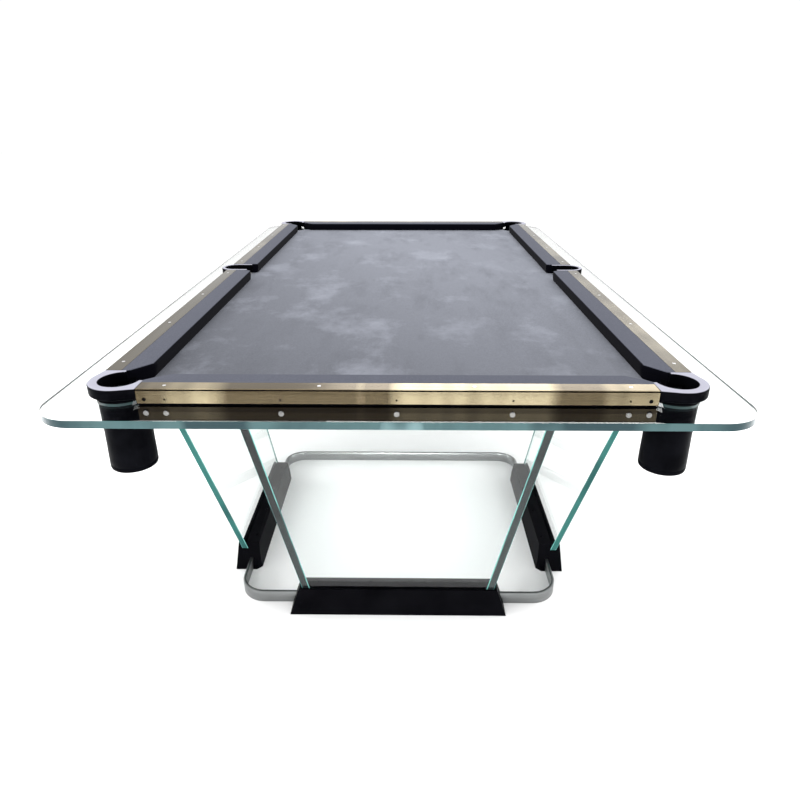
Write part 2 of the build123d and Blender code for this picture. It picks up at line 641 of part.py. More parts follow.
def levelling_foot():
    foot = Cylinder(FOOT_RADIUS, FOOT_THICKNESS, align=STANDING)
    foot += Cylinder(FOOT_STEM_RADIUS, FOOT_STEM_TOP, align=STANDING)
    return Pos(0, SHOE_WIDTH - FOOT_INSET, 0) * foot


def to_end(shape, end):
    return shape if end == "head" else mirror(shape, about=Plane.XZ)


# ---- write every node ----
save("glass_top", glass_top())
save("bed_cloth", bed_cloth())

for rail in RAILS:
    save(f"cushion_{rail.name}", rail.put(cushion(rail)))
    save(f"rail_core_{rail.name}", rail.put(rail_core(rail)))
    save(f"rail_trim_{rail.name}", rail_trim(rail))
save("rail_screws", group(solid for rail in RAILS for solid in rail_screws(rail)))
save("rail_bolts", group(solid for rail in RAILS for solid in rail_bolts(rail)))
save("under_frame", group(frame_bar(rail) for rail in RAILS))
save("frame_bolts", group(solid for rail in RAILS for solid in frame_bolts(rail)))

for pocket in POCKETS:
    save(f"pocket_loop_{pocket.name}", pocket.settle(corner_loop() if pocket.is_corner else side_loop()))
    save(f"pocket_cup_{pocket.name}", pocket_cup(pocket))
save("cup_bases", group(cup_base(pocket) for pocket in POCKETS))

for end in ("head", "foot"):
    save(f"floor_ring_{end}", to_end(floor_ring(), end))
    for stand in STANDS:
        save(f"shoe_{end}_{stand.name}", to_end(shoe(stand), end))
        save(f"glass_panel_{end}_{stand.name}", to_end(stand.put(glass_panel(stand)), end))
        save(f"levelling_foot_{end}_{stand.name}", to_end(stand.put(levelling_foot()), end))
ends_and_stands = [(end, stand) for end in ("head", "foot") for stand in STANDS]
save("panel_pads", group(to_end(stand.put(panel_pad(stand)), end) for end, stand in ends_and_stands))
save("shoe_screws", group(to_end(stand.put(screw), end) for end, stand in ends_and_stands
                          for screw in shoe_screws(stand)))
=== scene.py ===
import math

import bmesh
import bpy
import numpy as np
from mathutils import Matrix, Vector


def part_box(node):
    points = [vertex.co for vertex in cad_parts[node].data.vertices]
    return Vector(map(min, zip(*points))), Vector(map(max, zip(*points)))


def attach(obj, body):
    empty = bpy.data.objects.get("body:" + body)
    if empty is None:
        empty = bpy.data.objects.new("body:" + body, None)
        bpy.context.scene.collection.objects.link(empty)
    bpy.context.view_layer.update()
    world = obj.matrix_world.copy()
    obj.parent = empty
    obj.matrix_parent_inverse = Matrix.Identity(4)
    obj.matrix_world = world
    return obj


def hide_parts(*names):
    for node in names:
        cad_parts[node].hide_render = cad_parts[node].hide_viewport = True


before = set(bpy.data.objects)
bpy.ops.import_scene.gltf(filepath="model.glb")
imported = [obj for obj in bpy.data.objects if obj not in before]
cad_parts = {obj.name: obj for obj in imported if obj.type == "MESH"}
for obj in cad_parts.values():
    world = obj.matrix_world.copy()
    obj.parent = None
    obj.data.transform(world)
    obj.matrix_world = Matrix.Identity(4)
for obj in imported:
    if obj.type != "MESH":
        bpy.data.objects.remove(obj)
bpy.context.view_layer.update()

# A glass pool table: metres, X across, Y along, Z up, origin on the floor under its middle.
BODY = "table"


# ---------------------------------------------------------------- places read from the frame
def span(node):
    """Lowest and highest corner of a CAD node, as arrays."""
    low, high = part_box(node)
    return np.array(low), np.array(high)


GLASS_LOW, GLASS_HIGH = span("glass_top")
BED = GLASS_HIGH[2]
UNDERSIDE = GLASS_LOW[2]
NOSE_X = span("cushion_right_head")[0][0]
NOSE_Y = span("cushion_foot")[0][1]
CUSHION_WIDTH = span("cushion_foot")[1][1] - NOSE_Y
CUSHION_TOP = span("cushion_foot")[1][2]
CUSHION_BOTTOM = span("cushion_foot")[0][2]
CORNER_RAIL_END = span("cushion_foot")[1][0]
SIDE_RAIL_FAR = span("cushion_right_foot")[1][1]
SIDE_RAIL_NEAR = span("cushion_right_foot")[0][1]
RAIL_Y = span("rail_trim_foot")[1][1]
LOOP_LOW, LOOP_HIGH = span("pocket_loop_foot_right")
CLOTH_LOW, CLOTH_HIGH = span("bed_cloth")

# ---------------------------------------------------------------- sizes that the boxes don't give
GLASS_CORNER = 0.105        # radius of the plate's corners
GLASS_ARRIS = 0.0015        # polished bevel along a glass edge
CORNER_NOSE_SETBACK = 0.078  # a nose line ends this far short of the field's corner
SIDE_NOSE_HALF = 0.072      # and this far from the middle of a side pocket
CORNER_JAW_DEPTH = 0.0477
SIDE_JAW_DEPTH = 0.0562
NOSE_LOW, NOSE_HIGH = 0.026, 0.031  # upright part of the nose, above the bed
SHOULDER = 0.006            # top edge of the cushion back from its nose
SHOULDER_TOP = CUSHION_TOP - 0.0006
CROWN = 0.0005              # rise of the top's crown
UNDERCUT = 0.004            # foot of the cushion back from its nose
CUSHION_FOOT_END = 0.035
SUBRAIL_TOP = BED + 0.018
CUSHION_ARRIS = 0.0012
NOSE_EDGE = SHOULDER_TOP - 0.0008  # the painted shade on the cushion's front ends here
HOLE_CLEARANCE = 0.002      # hole in the glass wider than the cup
CLOTH_HEM = 0.002
THREAD_HEIGHT = 0.00005
CUP_WALL = 0.004
CUP_RIM = BED - 0.001       # top of a cup towards the field
LOOP_THROAT = {"corner": 0.051, "side": 0.044}  # inner radius
LOOP_ROUND = 0.0035
BOLT_HOLE = 0.007
BOLT_LINE = 0.045           # bolts back from the nose line
END_BOLTS = (-0.470, -0.187, 0.187, 0.470)
SIDE_BOLT_MARGIN = 0.100    # from the ends of a side rail
PANEL_THICKNESS = 0.019
SHOE_ARRIS = 0.0016
RING_CORNER = 0.080
RING_BAR = 0.009            # thickness of the flat bar
RING_ARRIS = 0.0012


# ---------------------------------------------------------------- meshes
def placed(name, data):
    """An object at the origin of the scene that holds a mesh, a curve, a lamp or a camera."""
    item = bpy.data.objects.new(name, data)
    bpy.context.scene.collection.objects.link(item)
    return item


def finish_piece(mesh, name, finish, replaced, sharp=35):
    """Turns a mesh into a piece of the table: outward faces, soft shading, its material and its body."""
    shell = bmesh.new()
    shell.from_mesh(mesh)
    bmesh.ops.recalc_face_normals(shell, faces=shell.faces)
    shell.to_mesh(mesh)
    shell.free()
    mesh.polygons.foreach_set("use_smooth", np.ones(len(mesh.polygons), bool))
    mesh.set_sharp_from_angle(angle=math.radians(sharp))
    piece = placed(name, mesh)
    mesh.materials.clear()
    mesh.materials.append(finish)
    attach(piece, BODY)
    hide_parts(*replaced)
    return piece


def grid_quads(rows, columns, wrap_rows):
    """Corner numbers of the quads of a rows by columns grid of points, as one array; its columns close up."""
    r, c = np.meshgrid(np.arange(rows if wrap_rows else rows - 1), np.arange(columns), indexing="ij")
    below, beside = (r + 1) % rows, (c + 1) % columns
    corners = [r * columns + c, below * columns + c, below * columns + beside, r * columns + beside]
    return np.stack(corners, -1).reshape(-1, 4)


def surface(name, points, wrap_rows=False):
    """A grid of points, rows along a path and columns round a section, as a mesh with its UV map in metres.

    A path that is not wrapped round has each of its ends shut with one face.
    """
    rows, columns = points.shape[:2]
    quads = grid_quads(rows, columns, wrap_rows)
    faces = [tuple(q) for q in quads.tolist()]
    if not wrap_rows:
        faces.append(tuple(range(columns)))
        faces.append(tuple(range((rows - 1) * columns, rows * columns)))
    mesh = bpy.data.meshes.new(name)
    mesh.from_pydata(points.reshape(-1, 3), [], faces)
    along = np.linalg.norm(np.diff(points, axis=0, append=points[:1]), axis=2).mean(1)
    across = np.linalg.norm(np.diff(points, axis=1, append=points[:, :1]), axis=2).mean(0)
    along = np.concatenate([[0], np.cumsum(along)])
    across = np.concatenate([[0], np.cumsum(across)])
    quad_rows, quad_columns = quads[:, 0] // columns, quads[:, 0] % columns
    corners_u = np.stack([along[quad_rows], along[quad_rows + 1], along[quad_rows + 1], along[quad_rows]], 1)
    corners_v = np.stack([across[quad_columns], across[quad_columns],
                          across[quad_columns + 1], across[quad_columns + 1]], 1)
    uv = np.zeros((len(mesh.loops), 2))
    uv[: 4 * len(quads)] = np.stack([corners_u.ravel(), corners_v.ravel()], 1)
    mesh.uv_layers.new(name="lay").data.foreach_set("uv", uv.ravel())
    return mesh


def arc(centre, radius, start, end, steps):
    """Points on a circle's arc, from start to end in degrees."""
    angle = np.radians(np.linspace(start, end, steps))
    return np.stack([centre[0] + radius * np.cos(angle), centre[1] + radius * np.sin(angle)], 1)


def rounded_rectangle(half_x, half_y, radius, steps=24, middle=(0.0, 0.0)):
    """A rectangle's outline with a quarter circle at each corner, as steps points each."""
    reach_x, reach_y = half_x - radius, half_y - radius
    corners = [(1, 1, 0), (-1, 1, 90), (-1, -1, 180), (1, -1, 270)]
    return np.concatenate([
        arc((middle[0] + x * reach_x, middle[1] + y * reach_y), radius, turn, turn + 90, steps)
        for x, y, turn in corners])


def plate(name, outlines, low, high):
    """Flat plate: the first outline less the others, filled level and given thickness."""
    curve = bpy.data.curves.new(name, "CURVE")
    curve.dimensions = "2D"
    curve.fill_mode = "BOTH"
    curve.extrude = (high - low) / 2
    for outline in outlines:
        spline = curve.splines.new("POLY")
        spline.points.add(len(outline) - 1)
        spline.points.foreach_set("co", np.c_[outline, np.zeros(len(outline)), np.ones(len(outline))].ravel())
        spline.use_cyclic_u = True
    holder = placed(name, curve)
    mesh = bpy.data.meshes.new_from_object(holder.evaluated_get(bpy.context.evaluated_depsgraph_get()))
    bpy.data.objects.remove(holder)
    shell = bmesh.new()
    shell.from_mesh(mesh)
    bmesh.ops.remove_doubles(shell, verts=shell.verts, dist=1e-6)
    bmesh.ops.translate(shell, verts=shell.verts, vec=(0, 0, (low + high) / 2))
    shell.to_mesh(mesh)
    shell.free()
    mesh.name = name
    return mesh


def bevel(piece, width, angle=40, finish=-1):
    """Rounds every edge sharper than the angle; finish is the number of the arris's own material."""
    edge = piece.modifiers.new("edge", "BEVEL")
    edge.width = width
    edge.segments = 2
    edge.limit_method = "ANGLE"
    edge.angle_limit = math.radians(angle)
    edge.harden_normals = False
    edge.material = finish
    return piece


def softened(node, name, finish, width):
    """A merged copy of a CAD node with flat faces made whole and its edges rounded."""
    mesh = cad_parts[node].data.copy()
    mesh.name = name
    shell = bmesh.new()
    shell.from_mesh(mesh)
    bmesh.ops.remove_doubles(shell, verts=shell.verts, dist=1e-6)
    bmesh.ops.dissolve_limit(shell, angle_limit=math.radians(0.5), verts=shell.verts, edges=shell.edges)
    shell.to_mesh(mesh)
    shell.free()
    piece = finish_piece(mesh, name, finish, [node])
    return bevel(piece, width)


# ---------------------------------------------------------------- finishes
class Finish:
    """A node material under one Principled shader, with short ways to add the nodes it needs."""

    def __init__(self, name, **sockets):
        self.material = bpy.data.materials.new(name)
        self.material.use_nodes = True
        self.nodes = self.material.node_tree.nodes
        self.links = self.material.node_tree.links
        self.shader = self.nodes["Principled BSDF"]
        self.output = self.nodes["Material Output"]
        for socket, value in sockets.items():
            self.shader.inputs[socket.replace("_", " ")].default_value = value

    def add(self, kind, links=(), values=(), **settings):
        """One node: settings on it, links as socket to source, values as socket to number."""
        node = self.nodes.new(kind)
        for key, value in settings.items():
            setattr(node, key, value)
        for socket, value in dict(values).items():
            node.inputs[socket].default_value = value
        for socket, source in dict(links).items():
            self.links.new(source, node.inputs[socket])
        return node

    def place(self, scale=(1, 1, 1), source="Object"):
        """Coordinates of the piece, stretched by scale."""
        coordinates = self.add("ShaderNodeTexCoord")
        links = {"Vector": coordinates.outputs[source]}
        return self.add("ShaderNodeMapping", links, {"Scale": scale}).outputs["Vector"]

    def noise(self, scale, detail=3.0, roughness=0.55, stretch=(1, 1, 1), source="Object"):
        """Cloudy factor, finer along the axes with the larger stretch."""
        return self.add("ShaderNodeTexNoise", {"Vector": self.place(stretch, source)},
                        {"Scale": scale, "Detail": detail, "Roughness": roughness}).outputs["Fac"]

    def spread(self, factor, low, high, start=0.0, end=1.0):
        """Maps a factor between start and end onto low to high."""
        return self.add("ShaderNodeMapRange", {"Value": factor},
                        {"From Min": start, "From Max": end, "To Min": low, "To Max": high}).outputs["Result"]

    def blend(self, factor, first, second):
        """Mixes two colours, each a colour or a socket, by a factor that is a number or a socket."""
        node = self.add("ShaderNodeMix", data_type="RGBA")
        for socket, value in ((0, factor), (6, first), (7, second)):
            if isinstance(value, (float, int, tuple)):
                node.inputs[socket].default_value = value if socket == 0 else (*value, 1)
            else:
                self.links.new(value, node.inputs[socket])
        return node.outputs[2]

    def math(self, way, first, second):
        """Sum, least or size of two factors, each a number or a socket."""
        node = self.add("ShaderNodeMath", operation=way)
        for socket, value in ((0, first), (1, second)):
            if isinstance(value, (float, int)):
                node.inputs[socket].default_value = value
            else:
                self.links.new(value, node.inputs[socket])
        return node.outputs[0]

    def bump(self, height, distance, strength=1.0, under=None):
        """Normal raised by a height factor times a distance, on top of the bump under it."""
        links = {"Height": height}
        if under is not None:
            links["Normal"] = under
        values = {"Strength": strength, "Distance": distance}
        return self.add("ShaderNodeBump", links, values).outputs["Normal"]

    def drive(self, **sockets):
        """Leads sources into the shader's own sockets."""
        for socket, source in sockets.items():
            self.links.new(source, self.shader.inputs[socket.replace("_", " ")])
        return self


def clear_glass(name, tone):
    """Polished float glass: nearly clear face on, its tone, and green where light runs along the sheet."""
    f = Finish(name, Base_Color=(*tone, 1), Roughness=0.0, IOR=1.45, Transmission_Weight=1.0)
    ripple = f.noise(3.0, 2.0)
    f.drive(Normal=f.bump(ripple, 0.0002, 0.25))
    tint = f.add("ShaderNodeVolumeAbsorption", values={"Color": (0.30, 0.74, 0.70, 1), "Density": 1.4})
    f.links.new(tint.outputs[0], f.output.inputs["Volume"])
    through = f.add("ShaderNodeBsdfTransparent", values={"Color": (0.95, 0.97, 0.965, 1)})
    path = f.add("ShaderNodeLightPath")
    mix = f.add("ShaderNodeMixShader")
    f.links.new(path.outputs["Is Shadow Ray"], mix.inputs[0])
    f.links.new(f.shader.outputs[0], mix.inputs[1])
    f.links.new(through.outputs[0], mix.inputs[2])
    f.links.new(mix.outputs[0], f.output.inputs["Surface"])
    return f.material


def glass_edge(name, dark, middle, bright, stretch, corners=None):
    """Polished edge of a glass sheet: painted green light from inside it, in long patches of dark, middle and
    bright.

    Round the corners, given as where each starts and ends in X and in Y, the painted light of the edge turns to
    painted shade.
    """
    f = Finish(name, Specular_IOR_Level=0.2)
    patches = f.noise(1.0, 2.0, stretch=stretch)
    streaks = f.noise(1.0, 3.0, stretch=tuple(6 * c for c in stretch))
    colour = f.blend(f.spread(patches, 0.0, 1.0, 0.40, 0.47), dark, middle)
    colour = f.blend(f.spread(patches, 0.0, 1.0, 0.67, 0.74), colour, bright)
    colour = f.blend(f.spread(streaks, 0.0, 0.45, 0.45, 0.75), colour, dark)
    if corners:
        where = f.add("ShaderNodeSeparateXYZ", {"Vector": f.place()}).outputs
        across, along = f.math("ABSOLUTE", where["X"], 0.0), f.math("ABSOLUTE", where["Y"], 0.0)
        near_side, near_end = f.spread(across, 0.0, 0.9, *corners[0]), f.spread(along, 0.0, 0.9, *corners[1])
        turned = f.math("MINIMUM", near_side, near_end)
        colour = f.blend(turned, colour, dark)
    f.drive(Base_Color=colour, Roughness=f.spread(streaks, 0.12, 0.22))
    return f.material


def playing_cloth(name, shade, painted_front_shade=None, painted_light=False):
    """Worsted cloth: fine threads both ways, a soft cloudy wear and faint chalk streaks.

    On a cushion the front and the jaws are painted near black below the nose edge: painted shade. The bed is
    painted darker towards the head and the left, painted shade, with patches of chalk dust and rubbed places.
    """
    f = Finish(name, Roughness=0.92, Sheen_Weight=0.03, Sheen_Roughness=0.45, Specular_IOR_Level=0.03)
    thread_x = f.noise(1.0, 1.0, stretch=(180, 1400, 400))
    thread_y = f.noise(1.0, 1.0, stretch=(1400, 180, 400))
    threads = f.math("ADD", thread_x, thread_y)
    clouds = f.noise(2.2, 4.0)
    streaks = f.noise(1.0, 5.0, 0.6, stretch=(26, 1.3, 1))
    pale = tuple(min(1.0, c * 1.22) for c in shade)
    deep = tuple(c * 0.80 for c in shade)
    colour = f.blend(f.spread(threads, 0.0, 1.0, 0.75, 1.25), deep, pale)
    colour = f.blend(f.spread(clouds, 0.0, 0.55, 0.35, 0.70), colour, shade)
    colour = f.blend(f.spread(streaks, 0.0, 0.35, 0.60, 0.80), colour, pale)
    # the bed only: painted shade falling off towards the head and the left, then real patches of chalk dust and
    # rubbed places
    if painted_light:
        where = f.add("ShaderNodeSeparateXYZ", {"Vector": f.place()}).outputs
        # painted shade: darker towards the head and the left
        painted_falloff = f.spread(f.math("ADD", where["X"], where["Y"]), 0.0, 1.0, -1.7, 0.7)
        colour = f.blend(painted_falloff, f.blend(0.45, colour, (0.0, 0.0, 0.0)), colour)
        dust = f.noise(5.0, 6.0, 0.62, stretch=(1.0, 0.7, 1.0))
        colour = f.blend(f.spread(dust, 0.0, 0.30, 0.52, 0.70), colour, tuple(c * 1.9 for c in shade))
        rubs = f.noise(7.0, 5.0, 0.6, stretch=(1.6, 0.5, 1.0))
        colour = f.blend(f.spread(rubs, 0.0, 0.35, 0.50, 0.72), colour, tuple(c * 0.45 for c in shade))
    # painted shade: the cushion's front and jaws turn near black below the nose edge
    if painted_front_shade:
        height = f.add("ShaderNodeSeparateXYZ", {"Vector": f.place()}).outputs["Z"]
        colour = f.blend(f.spread(height, 1.0, 0.0, NOSE_EDGE - 0.002, NOSE_EDGE), colour, painted_front_shade)
    f.drive(Base_Color=colour, Normal=f.bump(threads, THREAD_HEIGHT, 0.5))
    return f.material


def brushed_gold(along, shades):
    """Champagne anodised aluminium, brushed along the strip: along is 0 for X and 1 for Y.

    The first two shades are those of the brush lines, the third that of the long bright bands, painted
    reflections.
    """
    f = Finish("brushed_gold_" + "xy"[along], Metallic=1.0, Anisotropic=0.4)
    stretch = (1.5, 420, 420) if along == 0 else (420, 1.5, 420)
    lines = f.noise(2.0, 2.0, stretch=stretch)
    painted_reflection_zones = f.noise(1.0, 2.0, stretch=(4.6, 0.4, 0.4) if along == 0 else (0.4, 2.2, 0.4))
    colour = f.blend(f.spread(lines, 0.0, 1.0, 0.3, 0.7), shades[0], shades[1])
    # painted reflections: long bright bands along the strip
    colour = f.blend(f.spread(painted_reflection_zones, 0.0, 0.9, 0.54, 0.65), colour, shades[2])
    f.drive(Base_Color=colour, Roughness=f.spread(lines, 0.18, 0.26), Normal=f.bump(lines, 0.00002, 0.2))
    return f.material


def black_paint(name, roughness, grain):
    """Black coating with a fine orange-peel grain."""
    f = Finish(name, Specular_IOR_Level=0.010)
    peel = f.noise(grain, 2.0)
    cloud = f.noise(9.0, 3.0)
    shade = f.blend(f.spread(cloud, 0.0, 1.0, 0.3, 0.7), (0.0012, 0.0012, 0.0018), (0.0030, 0.0030, 0.0040))
    f.drive(Base_Color=shade, Roughness=f.spread(cloud, roughness - 0.05, roughness + 0.07),
            Normal=f.bump(peel, 0.0001, 0.3))
    return f.material


def black_leather():
    """Smooth black hide with small grain cells and wrinkles; the flat tops of the loops are painted pale, a
    painted sheen.
    """
    f = Finish("black_leather", Specular_IOR_Level=0.012)
    cells = f.add("ShaderNodeTexVoronoi", {"Vector": f.place()}, {"Scale": 520.0}, feature="DISTANCE_TO_EDGE")
    wrinkle = f.noise(60.0, 4.0)
    wear = f.noise(18.0, 3.0)
    shade = f.blend(f.spread(wear, 0.0, 1.0, 0.35, 0.75), (0.0010, 0.0011, 0.0017), (0.0030, 0.0032, 0.0045))
    height = f.add("ShaderNodeSeparateXYZ", {"Vector": f.place()}).outputs["Z"]
    # painted sheen: the flat tops of the loops turn pale lavender-grey
    painted_light = f.spread(height, 0.0, 1.0, LOOP_HIGH[2] - 0.0012, LOOP_HIGH[2] - 0.0002)
    shade = f.blend(painted_light, shade, (0.46, 0.46, 0.54))
    grain = f.bump(cells.outputs["Distance"], 0.0002, 0.25)
    f.drive(Base_Color=shade, Roughness=f.spread(wrinkle, 0.30, 0.46),
            Normal=f.bump(wrinkle, 0.0003, 0.3, grain))
    return f.material


def brushed_steel(name, source, stretch, pale=(0.30, 0.31, 0.31)):
    """Stainless steel with brush lines, finer along the axes with the larger stretch, and duller patches."""
    f = Finish(name, Metallic=1.0, Anisotropic=0.35)
    lines = f.noise(2.0, 4.0, stretch=stretch, source=source)
    patches = f.noise(7.0, 2.0)
    colour = f.blend(f.spread(lines, 0.0, 1.0, 0.3, 0.7), tuple(c * 0.72 for c in pale), pale)
    colour = f.blend(f.spread(patches, 0.0, 0.3, 0.4, 0.6), colour, tuple(c * 0.6 for c in pale))
    f.drive(Base_Color=colour, Roughness=f.spread(lines, 0.24, 0.42), Normal=f.bump(lines, 0.00004, 0.35))
    return f.material


def screw_steel():
    """Polished screw heads on top of the rails; those in the side faces painted black, the painted shade of
    their recesses; told apart by height.
    """
    f = Finish("screw_steel", Metallic=1.0)
    height = f.add("ShaderNodeSeparateXYZ", {"Vector": f.place()}).outputs["Z"]
    on_top = f.spread(height, 0.0, 1.0, CUSHION_TOP - 0.0035, CUSHION_TOP - 0.0025)
    turned = f.noise(300.0, 2.0)
    bright = f.blend(f.spread(turned, 0.0, 1.0, 0.3, 0.7), (0.72, 0.72, 0.73), (0.92, 0.92, 0.93))
    # the heads in the side faces are painted black: painted shade of their recesses
    f.drive(Base_Color=f.blend(on_top, (0.01, 0.01, 0.011), bright), Roughness=f.spread(turned, 0.12, 0.26))
    return f.material


def clear_pad():
    """Clear bonding pad, a little cloudy."""
    f = Finish("clear_pad", Base_Color=(0.85, 0.87, 0.87, 1), Transmission_Weight=0.85, IOR=1.42)
    f.drive(Roughness=f.spread(f.noise(200.0, 2.0), 0.2, 0.35))
    return f.material


# where the plate's painted edge light turns to painted shade, in X and in Y
DARK_CORNERS = ((GLASS_HIGH[0] - 0.16, GLASS_HIGH[0] - 0.09), (GLASS_HIGH[1] - 0.13, GLASS_HIGH[1] - 0.09))

FINISH = {
    "glass": clear_glass("clear_glass_top", (0.85, 0.85, 0.84)),
    "glass_leg": clear_glass("clear_glass_leg", (0.975, 0.985, 0.98)),
    # glass edges and arris: painted light from inside the glass with painted highlights; the end panels' mitred
    # edges painted dark, painted shade
    "edge_long": glass_edge("glass_edge_long", (0.015, 0.036, 0.042), (0.050, 0.098, 0.102), (0.36, 0.54, 0.56),
                            (3.6, 2.2, 1), DARK_CORNERS),
    "edge_leg": glass_edge("glass_edge_leg", (0.010, 0.062, 0.058), (0.022, 0.115, 0.102), (0.055, 0.18, 0.16),
                           (2, 2, 3)),
    "edge_deep": glass_edge("glass_edge_deep", (0.009, 0.011, 0.012), (0.018, 0.022, 0.023),
                            (0.045, 0.054, 0.054), (2, 2, 5)),
    "arris": glass_edge("glass_arris", (0.04, 0.13, 0.13), (0.16, 0.42, 0.39), (0.50, 0.80, 0.77), (3, 3, 3)),
    "bed": playing_cloth("bed_cloth", (0.262, 0.275, 0.318), painted_light=True),
    # its front and jaws painted near black below the nose edge: painted shade
    "cushion": playing_cloth("cushion_cloth", (0.112, 0.118, 0.148), (0.002, 0.002, 0.004)),
    # the strips along Y are given darker shades than those along X: painted shade on the same gold
    "gold_x": brushed_gold(0, ((0.095, 0.073, 0.042), (0.160, 0.125, 0.076), (0.50, 0.42, 0.27))),
    "gold_y": brushed_gold(1, ((0.090, 0.076, 0.052), (0.135, 0.115, 0.080), (0.25, 0.22, 0.16))),
    "rail": black_paint("black_rail", 0.32, 700.0),
    "frame": black_paint("black_steel", 0.40, 900.0),
    "shoe": black_paint("black_shoe", 0.42, 1100.0),
    "leather": black_leather(),
    "ring": brushed_steel("brushed_steel_bar", "UV", (1.5, 500, 1)),
    "foot": brushed_steel("foot_steel", "Object", (60, 60, 500)),
    "bolt": brushed_steel("bolt_steel", "Object", (90, 90, 90), (0.36, 0.36, 0.37)),
    "screw": screw_steel(),
    "pad": clear_pad(),
}


# ---------------------------------------------------------------- glass top and bed
EDGE_FINISH, ARRIS_FINISH = 1, 2  # their numbers on a glass piece, whose great faces are number 0
POCKETS = {"head_left": (-1, -1), "head_right": (1, -1), "foot_left": (-1, 1), "foot_right": (1, 1),
           "side_left": (-1, 0), "side_right": (1, 0)}


def pocket_facts(name):
    """Middle and radius of a pocket's cup, from its CAD box."""
    low, high = span("pocket_cup_" + name)
    middle = (low + high) / 2
    return middle[0], middle[1], (high[0] - low[0]) / 2


def pocket_holes(extra, steps):
    """Circles round the six cups, each wider than its cup by the extra."""
    return [arc(pocket_facts(name)[:2], pocket_facts(name)[2] + extra, 0, 360 - 360 / steps, steps)
            for name in POCKETS]


def bolt_spots():
    """Middles of the rail bolts, in X and Y."""
    ends = [(t, sign * (NOSE_Y + BOLT_LINE)) for t in END_BOLTS for sign in (-1, 1)]
    low, high = SIDE_RAIL_NEAR + SIDE_BOLT_MARGIN, SIDE_RAIL_FAR - SIDE_BOLT_MARGIN
    sides = [(x * (NOSE_X + BOLT_LINE), y * t) for t in (low, high) for x in (-1, 1) for y in (-1, 1)]
    return ends + sides


def polished_edges(piece, edge, on_edge):
    """Adds to a glass piece the finish of its edge faces and of its arris, and gives the edge faces theirs."""
    piece.data.materials.append(FINISH[edge])
    piece.data.materials.append(FINISH["arris"])
    for polygon in piece.data.polygons:
        if on_edge(polygon):
            polygon.material_index = EDGE_FINISH


def mitre(mesh):
    """Slants a panel's upright edges: the corners of its inner face move in by its thickness."""
    corners = np.empty(len(mesh.vertices) * 3)
    mesh.vertices.foreach_get("co", corners)
    corners = corners.reshape(-1, 3)
    is_top = corners[:, 2] > corners[:, 2].mean()
    reach = np.abs(corners[:, 1])
    inner = reach < np.where(is_top, reach[is_top].mean(), reach[~is_top].mean())
    corners[inner, 0] -= np.sign(corners[inner, 0]) * PANEL_THICKNESS
    mesh.vertices.foreach_set("co", corners.ravel())
    mesh.update()


def glass_leg(where, edge):
    """One leaning glass panel: its two great faces clear, its four narrow ones polished edges."""
    piece = softened("glass_panel_" + where, "glass_leg_" + where, FINISH["glass_leg"], GLASS_ARRIS)
    if edge == "edge_deep":
        mitre(piece.data)
    great_face = 0.1
    polished_edges(piece, edge, lambda polygon: polygon.area < great_face)
    piece.modifiers["edge"].material = ARRIS_FINISH


def glass_top():
    """Glass plate: a rounded rectangle less a circle for each cup and each rail bolt, given its thickness."""
    edge = rounded_rectangle(GLASS_HIGH[0], GLASS_HIGH[1], GLASS_CORNER, 40)
    bolts = [arc(spot, BOLT_HOLE, 0, 345, 24) for spot in bolt_spots()]
    mesh = plate("glass_top_plate", [edge] + pocket_holes(HOLE_CLEARANCE, 72) + bolts, UNDERSIDE, BED)
    piece = finish_piece(mesh, "glass_top_plate", FINISH["glass"], ["glass_top"])
    polished_edges(piece, "edge_long", lambda polygon: abs(polygon.normal.z) < 0.5)
    bevel(piece, GLASS_ARRIS, 60, ARRIS_FINISH)


def notch(name, half_x, half_y):
    """The arc a pocket cuts out of the cloth, from where its circle crosses one edge to the next.

    Each crossing follows from the circle: across squared plus along squared is the radius squared.
    """
    x, y, radius = pocket_facts(name)
    radius += HOLE_CLEARANCE + CLOTH_HEM
    side_x, side_y = np.sign(x), np.sign(y) if abs(y) > radius else 0
    reach = math.sqrt(radius ** 2 - (abs(x) - half_x) ** 2)
    on_side = math.atan2(-side_y * reach if side_y else -side_x * reach, side_x * half_x - x)
    if side_y:
        on_end = math.atan2(side_y * half_y - y, -side_x * math.sqrt(radius ** 2 - (abs(y) - half_y) ** 2))
        first, last = (on_side, on_end) if side_x == side_y else (on_end, on_side)
    else:
        first, last = on_side, math.atan2(side_x * reach, side_x * half_x - x)
    turn = (first - last) % (2 * math.pi)
    return arc((x, y), radius, math.degrees(first), math.degrees(first - turn), 49)


def bed_cloth():
    """Cloth drawn flat over the glass: the rectangle's straight edges joined by the arcs of six pockets."""
    half_x, half_y = CLOTH_HIGH[0], CLOTH_HIGH[1]
    order = ["side_right", "foot_right", "foot_left", "side_left", "head_left", "head_right"]
    edge = np.concatenate([notch(name, half_x, half_y) for name in order])
    mesh = plate("bed_cloth_sheet", [edge], CLOTH_LOW[2], CLOTH_HIGH[2])
    piece = finish_piece(mesh, "bed_cloth_sheet", FINISH["bed"], ["bed_cloth"])


# ---------------------------------------------------------------- cushions
def side_turn(side):
    """Turns points of t, u and height onto one side of the table."""
    return {
        "head": lambda t, u: (-t, -NOSE_Y - u),
        "foot": lambda t, u: (t, NOSE_Y + u),
        "left": lambda t, u: (-NOSE_X - u, t),
        "right": lambda t, u: (NOSE_X + u, -t),
    }[side]


